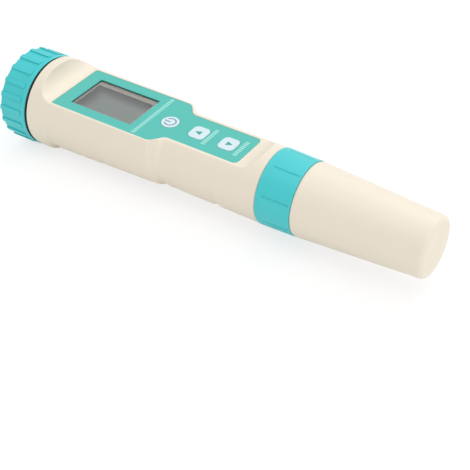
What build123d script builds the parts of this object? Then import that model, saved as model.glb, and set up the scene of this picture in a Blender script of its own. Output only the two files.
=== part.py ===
from build123d import *
import math
import os

# Multiparameter water quality meter lying on its back, display up. Millimetres.
# X runs along the barrel from the battery cap to the protective cap, Z is up.
# The origin lies under the middle of the meter, on the surface that it lies on.
# A station is a distance along the barrel from the battery cap's outer face.

# Barrel lengths
battery_cap_length = 12.8
rim_gap = 1.3
collar_length = 6.6
collar_slope_length = 3.0
head_length = 49.0
shoulder_length = 5.5
handle_length = 42.6
ring_gap = 0.2
ring_length = 14.5
mouth_gap = 0.2
protective_cap_length = 51.3

# Barrel radii, and the rise of each round section's centre above the axis
collar_radius = 18.9
collar_rise = 0.4
head_start_inset = 0.55
head_start_rise = 1.3
head_end_inset = 1.35
head_end_rise = 2.15
handle_radius = 15.05
handle_rise = 0.2
housing_wall = 1.9
housing_edge_fillet = 0.45

# Flat face of the housing, cut below the top of the handle
face_cut = 3.9
face_wall = 2.0
face_start_gap = 1.7
face_end_gap = 10.0
face_sweep_radius = 7.2
face_edge_fillet = 0.45

# Grip arcs across the back
grip_depth = 0.75
grip_radius = 5.6
grip_head_gap = 0.2
grip_pitch = 24.1
grip_shoulder_gap = 0.8

# Battery cap
rib_stand = 0.3
rib_count = 20
panel_width = 4.1
panel_depth = 0.6
rim_inset = 0.3
rim_length = 2.1
rim_edge_fillet = 0.25
cap_edge_fillet = 0.4
battery_cap_end_wall = 2.4
lanyard_height = 1.5
lanyard_slot = 2.2
lanyard_slot_width = 5.6
lanyard_bar_depth = 3.4
lanyard_bar_radius = 3.9
lanyard_bar_height = 0.9
lanyard_bar_fillet = 0.5
lanyard_boss_radius = 6.6
lanyard_boss_wall = 1.2

# Screw necks of the housing
battery_neck_gap = 1.5
battery_neck_inset = 2.7
battery_neck_wall = 1.8
battery_bore_length = 10.0
battery_thread_depth = 0.7
ring_neck_length = 6.8
ring_neck_inset = 1.45
ring_neck_wall = 2.0
ring_thread_depth = 0.6
thread_land = 0.4
thread_clearance = 0.08

# Battery seal
seal_thickness = 1.9
seal_recess = 0.45

# Batteries and their holder
cell_radius = 5.8
cell_thickness = 5.4
cell_count = 4
cell_gap = 0.02
cell_clearance = 0.06
cell_drop = 3.6
contact_thickness = 0.4
contact_radius = 3.6
holder_wall = 1.5
holder_disc_thickness = 1.6
holder_disc_clearance = 0.1
holder_setback = 0.2

# Face overlay
overlay_start_gap = 1.2
overlay_end_gap = 11.6
overlay_head_margin = 0.76
overlay_handle_margin = 1.11
overlay_shoulder_gap = 0.2
overlay_shoulder_length = 4.3
overlay_corner = 0.8
overlay_shoulder_fillet = 3.2
overlay_end_corner = 2.2
overlay_thickness = 0.4
overlay_recess = 0.5
overlay_clearance = 0.1

# Display
window_gap = 6.1
window_length = 29.8
window_width = 19.4
pane_margin = 1.2
pane_thickness = 0.8
pane_clearance = 0.05
frame_top_gap = 0.05
frame_lip = 0.3
frame_wall = 0.8
frame_side_lip = 1.0
frame_contact_lip = 2.7
display_thickness = 1.9
display_clearance = 0.1
connector_width = 1.6
connector_height = 1.9

# Keys
power_key_gap = 12.1
last_key_gap = 9.2
power_key_radius = 3.6
arrow_key_length = 7.0
arrow_key_width = 7.6
arrow_key_corner = 2.0
key_clearance = 0.12
key_travel = 0.4
key_play = 0.05
key_height = 0.95
key_stand = 0.08
key_stem_radius = 1.6
key_collar_radius = 2.1
key_collar_height = 0.6
stem_clearance = 0.15
switch_width = 5.0
switch_button_radius = 1.3
switch_button_height = 0.6

# Circuit board
board_thickness = 1.2
board_side_gap = 1.9
board_end_gap = 0.3
rail_height = 1.6
rail_grip = 1.6
rail_end_gap = 3.0
processor_width = 10.0
processor_height = 1.4
screw_inset = 1.0
screw_end_gap = 5.0
screw_radius = 0.8
screw_head_radius = 1.4
screw_head_height = 0.8
screw_length = 1.5

# Probe socket
socket_thickness = 3.0
socket_shoulder_width = 2.0
socket_shoulder_thickness = 1.2
socket_tail_radius = 5.0
pin_radius = 0.5
pin_circle_radius = 3.2
pin_count = 5
pin_clearance = 0.08
pin_depth = 2.4

# Probe
plug_clearance = 0.08
plug_gap = 0.3
flange_thickness = 2.4
flange_clearance = 0.2
flange_play = 0.05
flange_step = 1.5
probe_collar_length = 10.6
probe_base_thickness = 3.0
guard_inset = 2.7
guard_wall = 1.4
guard_foot_length = 4.0
guard_rim_length = 5.0
guard_sponge_gap = 6.3
guard_window_count = 4
guard_window_width = 9.0

# Sensors on the probe, their places in shares of the guard's bore radius
bulb_stem_radius = 2.4
bulb_radius = 3.0
bulb_length = 13.0
bulb_rise_share = 0.45
junction_radius = 1.6
junction_length = 10.0
redox_radius = 1.7
redox_length = 11.0
sensor_spread_share = 0.52
sensor_drop_share = 0.3
conductivity_pin_radius = 0.75
conductivity_pin_length = 8.0
conductivity_spread_share = 0.2
conductivity_drop_share = 0.7
temperature_radius = 1.2
temperature_length = 12.0
temperature_drop_share = 0.26

# Lock ring
ring_stand = 0.2
ring_end_stand = 0.1
ring_groove_count = 8
ring_groove_turn = 113.5
ring_groove_radius = 0.4
ring_groove_depth = 0.32
ring_groove_start_gap = 2.7
ring_groove_end_gap = 0.9
ring_stem_clearance = 0.1
ring_edge_fillet = 0.2

# Protective cap
mouth_inset = 0.3
cap_taper = 2.88
cap_mouth_wall = 1.75
cap_wall = 1.6
cap_end_wall = 2.2
cap_bore_clearance = 0.1
cap_stop_gap = 0.5
tip_fillet = 2.2
mouth_bevel = 0.2
mouth_bevel_length = 0.7

# Seals and sponge of the probe
probe_seal_thickness = 1.6
probe_seal_groove_depth = 1.0
probe_seal_clearance = 0.04
probe_seal_setback = 5.0
sponge_thickness = 4.7
sponge_clearance = 0.25

# Stations worked out from the lengths
collar_start = battery_cap_length + rim_gap
collar_end = collar_start + collar_length
head_start = collar_end + collar_slope_length
head_end = head_start + head_length
handle_start = head_end + shoulder_length
handle_end = handle_start + handle_length
ring_start = handle_end + ring_gap
ring_end = ring_start + ring_length
mouth_start = ring_end + mouth_gap
ring_neck_end = handle_end + ring_neck_length
tip_end = mouth_start + protective_cap_length
overall_length = lanyard_bar_height + tip_end
face_start = head_start + face_start_gap
face_end = handle_end - face_end_gap
overlay_start = head_start + overlay_start_gap
overlay_end = handle_end - overlay_end_gap
window_start = overlay_start + window_gap
window_end = window_start + window_length
power_key_station = window_end + power_key_gap
last_key_station = overlay_end - last_key_gap
grip_stations = (
    head_start + grip_head_gap,
    head_start + grip_head_gap + grip_pitch,
    handle_start - grip_shoulder_gap,
    handle_start - grip_shoulder_gap + grip_pitch,
)

# The lanyard's tunnel and the boss behind it reach into the battery cap
tunnel_inner = lanyard_bar_depth / 2
tunnel_outer = tunnel_inner + lanyard_slot
boss_end = tunnel_outer + lanyard_boss_wall
battery_neck_start = boss_end + battery_neck_gap
seal_seat = collar_start - seal_thickness

# Radii worked out from the collar's, the handle's and the walls between them
head_start_radius = collar_radius - head_start_inset
head_end_radius = collar_radius - head_end_inset
rib_radius = collar_radius + rib_stand
rim_radius = rib_radius - rim_inset
battery_neck_radius = collar_radius - battery_neck_inset
seal_outer = collar_radius - seal_recess
ring_neck_radius = handle_radius - ring_neck_inset
ring_start_radius = handle_radius + ring_stand
mouth_radius = handle_radius - mouth_inset
ring_end_radius = mouth_radius + ring_end_stand
tip_radius = mouth_radius - cap_taper
probe_stem_radius = ring_neck_radius - flange_step
cap_bore = mouth_radius - cap_mouth_wall
probe_collar_radius = cap_bore - cap_bore_clearance
guard_radius = probe_collar_radius - guard_inset
guard_bore = guard_radius - guard_wall

# The meter lies on the two lowest ribs of the battery cap
axis_height = math.sqrt(rib_radius**2 - (panel_width / 2) ** 2)
barrel_start = lanyard_bar_height - overall_length / 2
barrel_plane = Plane(origin=(barrel_start, 0, axis_height), x_dir=(1, 0, 0), z_dir=(0, -1, 0))
barrel_axis = Axis((barrel_start, 0, axis_height), (1, 0, 0))

# Heights above the barrel axis of what lies under the face
face_height = handle_radius - face_cut
overlay_floor = face_height - overlay_recess
pane_floor = overlay_floor - pane_thickness
inner_ceiling = face_height - face_wall
display_top = pane_floor - frame_top_gap - frame_lip
display_bottom = display_top - display_thickness
key_top = face_height + key_stand
key_bottom = key_top - key_height
key_well_floor = key_bottom - key_travel - key_play
collar_top = inner_ceiling - key_play
stem_bottom = collar_top - key_collar_height
switch_top = stem_bottom - key_travel - key_play
board_top = display_bottom - connector_height
board_bottom = board_top - board_thickness


def half_width(radius, rise, height):
    """Half the width, at a height above the axis, of a round section whose centre is raised."""
    return math.sqrt(radius**2 - (height - rise) ** 2)


# Half widths of the overlay on the face and of the board inside the walls
overlay_wide = half_width(head_end_radius, head_end_rise, face_height) - overlay_head_margin
overlay_narrow = half_width(handle_radius, 0, face_height) - overlay_handle_margin
head_bore = head_end_radius - housing_wall
handle_bore = handle_radius - housing_wall
board_head_side = half_width(head_bore, head_end_rise, board_top) - board_side_gap
board_handle_side = half_width(handle_bore, 0, board_top) - board_side_gap


def across(station):
    """Plane across the barrel at a station: its x is Y and its y is height above the axis."""
    return Plane(origin=(barrel_start + station, 0, axis_height), x_dir=(0, 1, 0), z_dir=(1, 0, 0))


def level(height):
    """Plane level with the face at a height above the axis: its x is the station."""
    return Plane(origin=(barrel_start, 0, axis_height + height), x_dir=(1, 0, 0), z_dir=(0, 0, 1))


def turn(points, mode=Mode.ADD):
    """Turn a closed outline of (station, radius) points about the barrel axis."""
    with BuildSketch(barrel_plane) as outline:
        with BuildLine():
            Polyline(*points, close=True)
        make_face()
    revolve(outline.sketch, axis=barrel_axis, mode=mode)


def ring_sketch(station, radius, rise):
    """Round section of the barrel at a station, its centre raised above the axis."""
    with BuildSketch(across(station)) as section:
        with Locations((0, rise)):
            Circle(radius)
    return section.sketch


def eased(start, end, count=6):
    """Sections that pass from one (station, radius, rise) to the next in a smooth S."""
    steps = [i / count for i in range(count + 1)]
    bends = [step * step * (3 - 2 * step) for step in steps]
    return [
        (
            start[0] + (end[0] - start[0]) * step,
            start[1] + (end[1] - start[1]) * bend,
            start[2] + (end[2] - start[2]) * bend,
        )
        for step, bend in zip(steps, bends)
    ]


def barrel_body(inset):
    """Loft the housing's round body, set in from its outer surface by a wall."""
    collar_ring = (collar_end, collar_radius - inset, collar_rise)
    head_start_ring = (head_start, head_start_radius - inset, head_start_rise)
    head_end_ring = (head_end, head_end_radius - inset, head_end_rise)
    handle_start_ring = (handle_start, handle_radius - inset, handle_rise)
    handle_end_ring = (handle_end, handle_radius - inset, 0)
    spans = [
        eased(collar_ring, head_start_ring),
        [head_start_ring, head_end_ring],
        eased(head_end_ring, handle_start_ring),
        [handle_start_ring, handle_end_ring],
    ]
    for span in spans:
        loft([ring_sketch(*ring) for ring in span])


def section_at(station):
    """Radius and rise of the housing's outer surface at a station."""
    rings = [
        (collar_end, collar_radius, collar_rise),
        (head_start, head_start_radius, head_start_rise),
        (head_end, head_end_radius, head_end_rise),
        (handle_start, handle_radius, handle_rise),
        (handle_end, handle_radius, 0),
    ]
    for near, far in zip(rings, rings[1:]):
        if station <= far[0]:
            share = max(0, (station - near[0]) / (far[0] - near[0]))
            return near[1] + (far[1] - near[1]) * share, near[2] + (far[2] - near[2]) * share
    return rings[-1][1], rings[-1][2]


def overlay_outline(margin):
    """Outline of the face overlay: wide round the display, narrow round the keys."""
    near = overlay_start - margin
    far = overlay_end + margin
    wide = overlay_wide + margin
    narrow = overlay_narrow + margin
    shoulder_near = head_end + overlay_shoulder_gap
    shoulder_far = shoulder_near + overlay_shoulder_length
    with BuildSketch(level(overlay_floor)) as outline:
        with BuildLine():
            Polyline(
                (near, -wide),
                (shoulder_near, -wide),
                (shoulder_far, -narrow),
                (far, -narrow),
                (far, narrow),
                (shoulder_far, narrow),
                (shoulder_near, wide),
                (near, wide),
                close=True,
            )
        make_face()
        columns = outline.vertices().group_by(Axis.X)
        fillet(columns[1] + columns[2], overlay_shoulder_fillet)
        fillet(outline.vertices().group_by(Axis.X)[0], overlay_corner)
        fillet(outline.vertices().group_by(Axis.X)[-1], overlay_end_corner)
    return outline.sketch


def window_sketch(height, margin, corner):
    """Rectangle of the display window with a margin round it."""
    with BuildSketch(level(height)) as outline:
        with Locations((window_start + window_length / 2, 0)):
            RectangleRounded(window_length + 2 * margin, window_width + 2 * margin, corner)
    return outline.sketch


key_stations = (
    power_key_station,
    (power_key_station + last_key_station) / 2,
    last_key_station,
)


def key_sketch(index, height, margin):
    """Outline of a key: the first is round, the arrow keys are rounded squares."""
    with BuildSketch(level(height)) as outline:
        with Locations((key_stations[index], 0)):
            if index == 0:
                Circle(power_key_radius + margin)
            else:
                RectangleRounded(
                    arrow_key_length + 2 * margin,
                    arrow_key_width + 2 * margin,
                    arrow_key_corner + margin,
                )
    return outline.sketch


def screw_neck(tip, root, radius, depth):
    """Core of a screw neck with a plain land at its tip and one at its root."""
    land = math.copysign(thread_land, root - tip)
    turn(
        [
            (tip, 0),
            (tip, radius - depth),
            (tip + land, radius),
            (tip + 2 * land, radius - depth),
            (root - 2 * land, radius - depth),
            (root - land, radius),
            (root, radius),
            (root, 0),
        ]
    )


# Space inside the housing, under the wall of the flat face
cavity_start = battery_neck_start + battery_bore_length
cavity_end = handle_end - socket_shoulder_thickness - socket_thickness + plug_gap
with BuildPart() as cavity:
    barrel_body(housing_wall)
    collar_bore = ring_sketch(cavity_start, collar_radius - housing_wall, collar_rise)
    extrude(collar_bore, amount=collar_end - cavity_start)
    split(bisect_by=level(inner_ceiling), keep=Keep.BOTTOM)
    split(bisect_by=across(cavity_end), keep=Keep.BOTTOM)

# Seats for the probe socket and the neck bore
neck_bore_radius = ring_neck_radius - ring_neck_wall
socket_front = handle_end + plug_gap
socket_back = socket_front - socket_thickness
battery_bore_radius = battery_neck_radius - battery_neck_wall

# Two rails on each side of the housing carry the circuit board
board_end = cavity_end - board_end_gap
head_rail_end = head_end - rail_end_gap
handle_rail_end = board_end - rail_end_gap
rail_spans = [
    (window_start + rail_end_gap, head_rail_end, board_head_side),
    (handle_start + rail_end_gap, handle_rail_end, board_handle_side),
]

# Places of the four board screws: behind the display and at the far end of the board
screw_rows = [
    ((window_end + head_rail_end) / 2, board_head_side - screw_inset),
    (board_end - screw_end_gap, board_handle_side - screw_inset),
]
screw_places = [(station, side * reach) for station, reach in screw_rows for side in (-1, 1)]

with BuildPart() as housing:
    extrude(ring_sketch(collar_start, collar_radius, collar_rise), amount=collar_length)
    barrel_body(0)
    fillet(housing.edges().group_by(Axis.X)[0], housing_edge_fillet)
    fillet(housing.edges().group_by(Axis.X)[-1], housing_edge_fillet)
    # Screw necks: the thread winds round the core between two plain lands
    screw_neck(battery_neck_start, seal_seat, battery_neck_radius, battery_thread_depth)
    turn(
        [
            (seal_seat, 0),
            (seal_seat, battery_neck_radius),
            (collar_start, battery_neck_radius),
            (collar_start, 0),
        ]
    )
    screw_neck(ring_neck_end, handle_end, ring_neck_radius, ring_thread_depth)
    # The flat face sweeps up to the round barrel at both ends
    with BuildSketch(barrel_plane) as face_relief:
        with BuildLine():
            sweep_height = face_height + face_sweep_radius
            rise_start = CenterArc((face_start, sweep_height), face_sweep_radius, 180, 90)
            floor_line = Line((face_start, face_height), (face_end, face_height))
            rise_end = CenterArc((face_end, sweep_height), face_sweep_radius, 270, 90)
            Polyline(
                rise_end @ 1,
                (face_end + face_sweep_radius, 2 * rib_radius),
                (face_start - face_sweep_radius, 2 * rib_radius),
                rise_start @ 0,
            )
        make_face()
    extrude(amount=2 * rib_radius, both=True, mode=Mode.SUBTRACT)
    fillet(housing.edges(Select.LAST), face_edge_fillet)
    # Shallow grip arcs, deepest at the middle of the back
    for station in grip_stations:
        radius, rise = section_at(station)
        groove_axis = Axis((barrel_start, 0, axis_height + rise + grip_depth), (1, 0, 0))
        with BuildSketch(barrel_plane) as groove:
            with Locations((station, rise + grip_depth - radius - grip_radius)):
                Circle(grip_radius)
        revolve(axis=groove_axis, mode=Mode.SUBTRACT)
    # Recess for the overlay, rebate for the window pane and opening for the display
    extrude(overlay_outline(overlay_clearance), amount=overlay_recess + face_wall, mode=Mode.SUBTRACT)
    extrude(
        window_sketch(pane_floor, pane_margin + pane_clearance, pane_margin),
        amount=pane_thickness,
        mode=Mode.SUBTRACT,
    )
    extrude(
        window_sketch(pane_floor, 0, frame_wall),
        amount=-(pane_floor - inner_ceiling) - face_wall,
        mode=Mode.SUBTRACT,
    )
    # Wells and stem holes of the keys
    for index, station in enumerate(key_stations):
        extrude(
            key_sketch(index, key_well_floor, key_clearance),
            amount=overlay_floor - key_well_floor,
            mode=Mode.SUBTRACT,
        )
        with BuildSketch(level(key_well_floor)):
            with Locations((station, 0)):
                Circle(key_stem_radius + stem_clearance)
        extrude(amount=-face_wall, mode=Mode.SUBTRACT)
    add(cavity.part, mode=Mode.SUBTRACT)
    # Bores of the battery neck and of the probe neck
    turn(
        [
            (battery_neck_start, 0),
            (battery_neck_start, battery_bore_radius),
            (cavity_start, battery_bore_radius),
            (cavity_start, 0),
        ],
        mode=Mode.SUBTRACT,
    )
    turn(
        [
            (cavity_end, 0),
            (cavity_end, neck_bore_radius - socket_shoulder_width),
            (socket_back, neck_bore_radius - socket_shoulder_width),
            (socket_back, neck_bore_radius),
            (ring_neck_end, neck_bore_radius),
            (ring_neck_end, 0),
        ],
        mode=Mode.SUBTRACT,
    )
    # Rails for the board, run into the side walls
    for near, far, board_side in rail_spans:
        outer_radius = min(section_at(near)[0], section_at(far)[0])
        rail_outer = math.sqrt((outer_radius - housing_wall / 2) ** 2 - board_bottom**2)
        rail_inner = board_side - rail_grip
        with BuildSketch(level(board_bottom)):
            with Locations(((near + far) / 2, 0)):
                Rectangle(far - near, 2 * rail_outer)
                Rectangle(far - near, 2 * rail_inner, mode=Mode.SUBTRACT)
        extrude(amount=-rail_height)
    with BuildSketch(level(board_bottom)):
        with Locations(*screw_places):
            Circle(screw_radius)
    extrude(amount=-screw_length, mode=Mode.SUBTRACT)
housing.part.label = "housing"
export_step(housing.part, "parts/housing.step")

with BuildPart() as battery_cap:
    turn(
        [
            (0, 0),
            (0, rib_radius),
            (battery_cap_length - rim_length, rib_radius),
            (battery_cap_length - rim_length, rim_radius),
            (battery_cap_length, rim_radius),
            (battery_cap_length, 0),
        ]
    )
    fillet(battery_cap.edges().group_by(Axis.X)[-1], rim_edge_fillet)
    # Recessed panels leave narrow ribs between them
    with BuildSketch(across(0)):
        with PolarLocations(rib_radius, rib_count, start_angle=-90):
            Rectangle(2 * panel_depth, panel_width)
    extrude(amount=battery_cap_length - rim_length, mode=Mode.SUBTRACT)
    fillet(battery_cap.edges().group_by(Axis.X)[0], cap_edge_fillet)
    # The screw bore, widened at the rim for the seal
    bore_radius = battery_neck_radius + thread_clearance
    turn(
        [
            (battery_cap_end_wall, 0),
            (battery_cap_end_wall, bore_radius),
            (seal_seat, bore_radius),
            (seal_seat, seal_outer + thread_clearance),
            (battery_cap_length, seal_outer + thread_clearance),
            (battery_cap_length, 0),
        ],
        mode=Mode.SUBTRACT,
    )
    # Lanyard eye: a half-moon bar over a curved tunnel, backed by a boss inside
    with BuildSketch(across(0)):
        with Locations((0, lanyard_height)):
            Circle(lanyard_boss_radius)
    extrude(amount=boss_end)
    with BuildSketch(barrel_plane):
        with Locations((0, lanyard_height)):
            Circle(tunnel_outer)
            Circle(tunnel_inner, mode=Mode.SUBTRACT)
            Rectangle(
                tunnel_outer,
                2 * tunnel_outer,
                align=(Align.MAX, Align.CENTER),
                mode=Mode.SUBTRACT,
            )
    extrude(amount=lanyard_slot_width / 2, both=True, mode=Mode.SUBTRACT)
    with BuildSketch(across(0)):
        with Locations((0, lanyard_height - tunnel_inner)):
            Circle(lanyard_bar_radius)
            Rectangle(
                2 * lanyard_bar_radius,
                lanyard_bar_radius,
                align=(Align.CENTER, Align.MAX),
                mode=Mode.SUBTRACT,
            )
    extrude(amount=-lanyard_bar_height)
    fillet(battery_cap.edges().group_by(Axis.X)[0], lanyard_bar_fillet)
battery_cap.part.label = "battery_cap"
export_step(battery_cap.part, "parts/battery_cap.step")

with BuildPart() as battery_cap_seal:
    turn(
        [
            (seal_seat, battery_neck_radius),
            (seal_seat, seal_outer),
            (collar_start, seal_outer),
            (collar_start, battery_neck_radius),
        ]
    )
battery_cap_seal.part.label = "battery_cap_seal"
export_step(battery_cap_seal.part, "parts/battery_cap_seal.step")

# Battery holder: a disc in the neck bore carries an open trough for the cells
holder_start = battery_neck_start + holder_setback
trough_start = holder_start + holder_disc_thickness
cells_start = trough_start + contact_thickness + cell_gap
cell_pitch = cell_thickness + cell_gap
cells_end = cells_start + cell_count * cell_pitch
trough_end = cells_end + contact_thickness
trough_bore = cell_radius + cell_clearance
trough_radius = trough_bore + holder_wall


def trough_sketch(station, radius):
    """Round section of the battery trough, lowered below the barrel axis."""
    with BuildSketch(across(station)) as section:
        with Locations((0, -cell_drop)):
            Circle(radius)
    return section.sketch


with BuildPart() as battery_holder:
    turn(
        [
            (holder_start, 0),
            (holder_start, battery_bore_radius - holder_disc_clearance),
            (trough_start, battery_bore_radius - holder_disc_clearance),
            (trough_start, 0),
        ]
    )
    extrude(trough_sketch(trough_start, trough_radius), amount=trough_end + holder_wall - trough_start)
    extrude(
        trough_sketch(trough_start, trough_bore),
        amount=trough_end - trough_start,
        mode=Mode.SUBTRACT,
    )
    # The trough is open on top, where the cells snap in
    with BuildSketch(level(0)):
        with Locations((trough_start, 0)):
            Rectangle(
                trough_end + holder_wall - trough_start,
                2 * trough_radius,
                align=(Align.MIN, Align.CENTER),
            )
    extrude(amount=trough_radius, mode=Mode.SUBTRACT)
battery_holder.part.label = "battery_holder"
export_step(battery_holder.part, "parts/battery_holder.step")

for i in range(cell_count):
    cell_start = cells_start + i * cell_pitch
    with BuildPart() as button_cell:
        extrude(trough_sketch(cell_start, cell_radius), amount=cell_thickness)
        # The negative cap is smaller than the can and faces the battery cap
        chamfer(button_cell.edges().group_by(Axis.X)[0], cell_radius / 12)
    button_cell.part.label = f"button_cell_{i + 1}"
    export_step(button_cell.part, f"parts/button_cell_{i + 1}.step")

contact_stations = {"negative_contact": trough_start, "positive_contact": cells_end}
for contact_name, contact_station in contact_stations.items():
    with BuildPart() as contact:
        extrude(trough_sketch(contact_station, contact_radius), amount=contact_thickness)
    contact.part.label = contact_name
    export_step(contact.part, f"parts/{contact_name}.step")

with BuildPart() as face_overlay:
    extrude(overlay_outline(0), amount=overlay_thickness)
    extrude(
        window_sketch(overlay_floor, 0, overlay_corner / 2),
        amount=overlay_thickness,
        mode=Mode.SUBTRACT,
    )
    for index in range(3):
        extrude(
            key_sketch(index, overlay_floor, key_clearance),
            amount=overlay_thickness,
            mode=Mode.SUBTRACT,
        )
face_overlay.part.label = "face_overlay"
export_step(face_overlay.part, "parts/face_overlay.step")

with BuildPart() as display_window:
    extrude(window_sketch(pane_floor, pane_margin, pane_margin), amount=pane_thickness)
display_window.part.label = "display_window"
export_step(display_window.part, "parts/display_window.step")

# Display frame: a tray standing on the board, its lip wider beside the contact edge
frame_top = pane_floor - frame_top_gap
pocket_length = window_length - 2 * (frame_wall + display_clearance)
pocket_width = window_width - 2 * (frame_wall + display_clearance)
window_middle = window_start + window_length / 2
with BuildPart() as display_frame:
    extrude(window_sketch(board_top, -display_clearance, frame_wall), amount=frame_top - board_top)
    with BuildSketch(level(board_top)):
        with Locations((window_middle, 0)):
            Rectangle(pocket_length, pocket_width)
    extrude(amount=display_top - board_top, mode=Mode.SUBTRACT)
    view_length = window_length - 2 * (display_clearance + frame_side_lip)
    view_width = window_width - 2 * display_clearance - frame_side_lip - frame_contact_lip
    view_shift = (frame_side_lip - frame_contact_lip) / 2
    with BuildSketch(level(display_top)):
        with Locations((window_middle, view_shift)):
            Rectangle(view_length, view_width)
    extrude(amount=frame_lip, mode=Mode.SUBTRACT)
display_frame.part.label = "display_frame"
export_step(display_frame.part, "parts/display_frame.step")

# Display glass: a wide lower sheet and a narrower upper sheet
glass_length = pocket_length - 2 * display_clearance
glass_width = pocket_width - 2 * display_clearance
with BuildPart() as display_panel:
    with BuildSketch(level(display_bottom)):
        with Locations((window_middle, 0)):
            Rectangle(glass_length, glass_width)
    extrude(amount=display_thickness)
display_panel.part.label = "display_panel"
export_step(display_panel.part, "parts/display_panel.step")

for side, side_name in ((-1, "near"), (1, "far")):
    with BuildPart() as connector:
        with BuildSketch(level(board_top)):
            with Locations((window_middle, side * (glass_width - connector_width) / 2)):
                Rectangle(glass_length, connector_width)
        extrude(amount=connector_height)
    connector.part.label = f"display_connector_{side_name}"
    export_step(connector.part, f"parts/display_connector_{side_name}.step")

# Circuit board, wide under the display and narrow under the keys
with BuildPart() as circuit_board:
    with BuildSketch(level(board_bottom)):
        with Locations((window_start, 0)):
            Rectangle(head_end - window_start, 2 * board_head_side, align=(Align.MIN, Align.CENTER))
            Rectangle(
                board_end - window_start, 2 * board_handle_side, align=(Align.MIN, Align.CENTER)
            )
        with Locations(*screw_places):
            Circle(screw_radius + stem_clearance, mode=Mode.SUBTRACT)
    extrude(amount=board_thickness)
circuit_board.part.label = "circuit_board"
export_step(circuit_board.part, "parts/circuit_board.step")

with BuildPart() as board_screws:
    with BuildSketch(level(board_top)):
        with Locations(*screw_places):
            Circle(screw_head_radius)
    extrude(amount=screw_head_height)
    with BuildSketch(level(board_top)):
        with Locations(*screw_places):
            Circle(screw_radius)
    extrude(amount=-(board_thickness + screw_length))
board_screws.part.label = "board_screws"
export_step(board_screws.part, "parts/board_screws.step")

with BuildPart() as processor:
    with BuildSketch(level(board_bottom)):
        with Locations((key_stations[1], 0)):
            Rectangle(processor_width, processor_width)
    extrude(amount=-processor_height)
processor.part.label = "processor"
export_step(processor.part, "parts/processor.step")

key_names = ("power", "up", "down")
for index, key_name in enumerate(key_names):
    with BuildPart() as key_switch:
        switch_body_height = switch_top - switch_button_height - board_top
        with BuildSketch(level(board_top)):
            with Locations((key_stations[index], 0)):
                Rectangle(switch_width, switch_width)
        extrude(amount=switch_body_height)
        with BuildSketch(level(board_top + switch_body_height)):
            with Locations((key_stations[index], 0)):
                Circle(switch_button_radius)
        extrude(amount=switch_button_height)
    key_switch.part.label = f"{key_name}_switch"
    export_step(key_switch.part, f"parts/{key_name}_switch.step")

    with BuildPart() as key:
        extrude(key_sketch(index, key_bottom, 0), amount=key_height)
        fillet(key.edges().group_by(Axis.Z)[-1], key_stand)
        with BuildSketch(level(stem_bottom)):
            with Locations((key_stations[index], 0)):
                Circle(key_stem_radius)
        extrude(amount=key_bottom - stem_bottom)
        # A collar under the wall keeps the key in
        with BuildSketch(level(stem_bottom)):
            with Locations((key_stations[index], 0)):
                Circle(key_collar_radius)
        extrude(amount=key_collar_height)
    key.part.label = f"{key_name}_key"
    export_step(key.part, f"parts/{key_name}_key.step")

plug_start = socket_front + plug_gap

with BuildPart() as probe_socket:
    turn(
        [
            (board_end + board_end_gap / 2, 0),
            (board_end + board_end_gap / 2, socket_tail_radius),
            (socket_back, socket_tail_radius),
            (socket_back, neck_bore_radius - plug_clearance),
            (socket_front, neck_bore_radius - plug_clearance),
            (socket_front, 0),
        ]
    )
    with BuildSketch(across(socket_front)):
        with PolarLocations(pin_circle_radius, pin_count):
            Circle(pin_radius + pin_clearance)
    extrude(amount=-(pin_depth + pin_clearance), mode=Mode.SUBTRACT)
probe_socket.part.label = "probe_socket"
export_step(probe_socket.part, "parts/probe_socket.step")

with BuildPart() as probe_pins:
    with BuildSketch(across(plug_start)):
        with PolarLocations(pin_circle_radius, pin_count):
            Circle(pin_radius)
    extrude(amount=-(pin_depth + plug_gap))
probe_pins.part.label = "probe_pins"
export_step(probe_pins.part, "parts/probe_pins.step")

# Probe: plug, flange, stem, collar with its seal groove, and the slotted guard
flange_start = ring_neck_end + flange_play
flange_end = flange_start + flange_thickness
probe_collar_start = mouth_start + mouth_gap
probe_collar_end = probe_collar_start + probe_collar_length
base_end = probe_collar_end + probe_base_thickness
floor_station = tip_end - cap_end_wall
sponge_start = floor_station - sponge_thickness
guard_end = sponge_start - guard_sponge_gap
guard_window_start = base_end + guard_foot_length
groove_start = probe_collar_start + probe_seal_setback
groove_end = groove_start + probe_seal_thickness
groove_floor = probe_collar_radius - probe_seal_groove_depth

with BuildPart() as probe_body:
    turn(
        [
            (plug_start, 0),
            (plug_start, neck_bore_radius - plug_clearance),
            (flange_start, neck_bore_radius - plug_clearance),
            (flange_start, ring_neck_radius - flange_clearance),
            (flange_end, ring_neck_radius - flange_clearance),
            (flange_end, probe_stem_radius),
            (probe_collar_start, probe_stem_radius),
            (probe_collar_start, probe_collar_radius),
            (groove_start, probe_collar_radius),
            (groove_start, groove_floor),
            (groove_end, groove_floor),
            (groove_end, probe_collar_radius),
            (probe_collar_end, probe_collar_radius),
            (probe_collar_end, guard_radius),
            (guard_end, guard_radius),
            (guard_end, guard_bore),
            (base_end, guard_bore),
            (base_end, 0),
        ]
    )
    # Windows let the water reach the sensors inside the guard
    with BuildSketch(across(guard_window_start)):
        with PolarLocations(guard_radius, guard_window_count, start_angle=45):
            Rectangle(guard_radius, guard_window_width)
    extrude(amount=guard_end - guard_rim_length - guard_window_start, mode=Mode.SUBTRACT)
probe_body.part.label = "probe_body"
export_step(probe_body.part, "parts/probe_body.step")

with BuildPart() as probe_cap_seal:
    turn(
        [
            (groove_start + probe_seal_clearance, groove_floor),
            (groove_start + probe_seal_clearance, probe_collar_radius),
            (groove_end - probe_seal_clearance, probe_collar_radius),
            (groove_end - probe_seal_clearance, groove_floor),
        ]
    )
probe_cap_seal.part.label = "probe_cap_seal"
export_step(probe_cap_seal.part, "parts/probe_cap_seal.step")

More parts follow.
